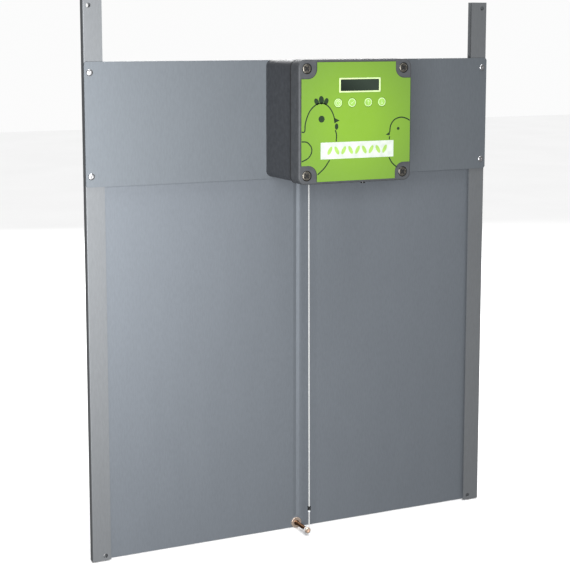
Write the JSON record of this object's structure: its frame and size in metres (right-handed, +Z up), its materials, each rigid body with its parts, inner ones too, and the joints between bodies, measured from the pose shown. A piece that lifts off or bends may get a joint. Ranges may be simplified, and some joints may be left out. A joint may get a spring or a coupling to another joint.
{
  "type": "automatic coop door",
  "caption": "Wall-mounted guillotine door for a poultry house: sheet slider in two rails, lifted by a cord from a battery winch with timer, display and light sensor.",
  "frame": {"origin": "midway between the two lower screw holes, in the wall plane at the rails' backs", "axes": "+X to the right seen from the front, +Y into the wall, +Z up along the rails, the way the slider opens"},
  "size_m": [0.452, 0.0859, 0.551],
  "materials": {
    "rail_metal": "satin grey anodised",
    "plate_metal": "satin grey anodised",
    "slider_metal": "satin grey anodised",
    "rivet_metal": "bright",
    "bolt_brass": "polished",
    "washer_brass": "satin",
    "cord_white": "braided",
    "crimp_black": "satin",
    "enclosure_grey": "fine moulded grain",
    "gasket_rubber": "matt",
    "lid_screw_steel": "dark zinc",
    "base_screw_steel": "zinc",
    "label_green": "semi-gloss film",
    "window_glass": "clear",
    "display_module": "smooth",
    "key_plastic": "translucent satin",
    "sensor_black": "dark lens",
    "board_green": "solder mask",
    "chip_black": "moulded",
    "switch_black": "moulded",
    "holder_black": "moulded",
    "cell_jacket": "printed jacket",
    "contact_steel": "nickel plated",
    "winch_steel": "zinc",
    "spacer_brass": "turned",
    "bush_brass": "sintered",
    "gear_plastic": "acetal",
    "pinion_brass": "cut",
    "drum_plastic": "moulded",
    "motor_steel": "drawn can",
    "motor_cap": "moulded",
    "shaft_steel": "ground",
    "bush_plastic": "moulded"
  },
  "bodies": {
    "door_frame": {"left_rail": "rail_metal", "right_rail": "rail_metal", "cover_plate": "plate_metal", "cover_rivets": "rivet_metal", "lift_cord": "cord_white", "cord_upper": "cord_white", "enclosure_base": "enclosure_grey", "base_screws": "base_screw_steel", "lid_gasket": "gasket_rubber", "enclosure_lid": "enclosure_grey", "lid_screws": "lid_screw_steel", "front_label": "label_green", "display_window": "window_glass", "display_module": "display_module", "light_sensor": "sensor_black", "control_board": "board_green", "board_screws": "base_screw_steel", "key_switches": "switch_black", "board_chips": "chip_black", "battery_holder": "holder_black", "battery_cells": "cell_jacket", "battery_contacts": "contact_steel", "winch_rear_plate": "winch_steel", "winch_front_plate": "winch_steel", "winch_spacers": "spacer_brass", "winch_screws": "base_screw_steel", "motor_screws": "base_screw_steel", "drum_bushes": "bush_brass", "idler_axle": "shaft_steel", "motor_can": "motor_steel", "motor_end_cap": "motor_cap", "cord_outlet_bush": "bush_plastic"},
    "slider": {"slider_panel": "slider_metal", "lift_bolt": "bolt_brass", "bolt_washer": "washer_brass", "cord_loop": "cord_white", "cord_crimp": "crimp_black", "cord_bead": "cord_white"},
    "drum": {"drum_gear": "gear_plastic", "cord_drum": "drum_plastic", "cord_coil": "cord_white", "drum_shaft": "shaft_steel", "drum_clip": "base_screw_steel"},
    "idler": {"idler_gear": "gear_plastic"},
    "motor_rotor": {"motor_shaft": "shaft_steel", "motor_pinion": "pinion_brass"},
    "clock_key": {"key_clock": "key_plastic"},
    "confirm_key": {"key_confirm": "key_plastic"},
    "up_key": {"key_up": "key_plastic"},
    "down_key": {"key_down": "key_plastic"}
  },
  "joints": [
    {"name": "slider_lift", "type": "slide", "parent": "door_frame", "child": "slider", "axis": [0, 0, 1], "range_m": [0, 0.33], "deforming": ["lift_cord"]},
    {"name": "drum_spin", "type": "hinge", "parent": "door_frame", "child": "drum", "pos_m": [-0.0092, -0.018, 0.3975], "axis": [0, -1, 0], "range_deg": [0, 1800]},
    {"name": "idler_spin", "type": "hinge", "parent": "door_frame", "child": "idler", "pos_m": [0.01672, -0.017, 0.3955], "axis": [0, -1, 0], "range_deg": [-5960, 0]},
    {"name": "motor_spin", "type": "hinge", "parent": "door_frame", "child": "motor_rotor", "pos_m": [0.03734, -0.018, 0.3995], "axis": [0, -1, 0], "range_deg": [0, 14880]},
    {"name": "clock_key_press", "type": "slide", "parent": "door_frame", "child": "clock_key", "axis": [0, 1, 0], "range_m": [0, 0.0004], "stiffness_N_per_m": 600, "springref_m": -0.0006},
    {"name": "confirm_key_press", "type": "slide", "parent": "door_frame", "child": "confirm_key", "axis": [0, 1, 0], "range_m": [0, 0.0004], "stiffness_N_per_m": 600, "springref_m": -0.0006},
    {"name": "up_key_press", "type": "slide", "parent": "door_frame", "child": "up_key", "axis": [0, 1, 0], "range_m": [0, 0.0004], "stiffness_N_per_m": 600, "springref_m": -0.0006},
    {"name": "down_key_press", "type": "slide", "parent": "door_frame", "child": "down_key", "axis": [0, 1, 0], "range_m": [0, 0.0004], "stiffness_N_per_m": 600, "springref_m": -0.0006}
  ],
  "couplings": [
    {"joint": "drum_spin", "follows": "slider_lift", "rad_per_m": 94.34},
    {"joint": "idler_spin", "follows": "slider_lift", "rad_per_m": -314.47},
    {"joint": "motor_spin", "follows": "slider_lift", "rad_per_m": 786.16}
  ]
}
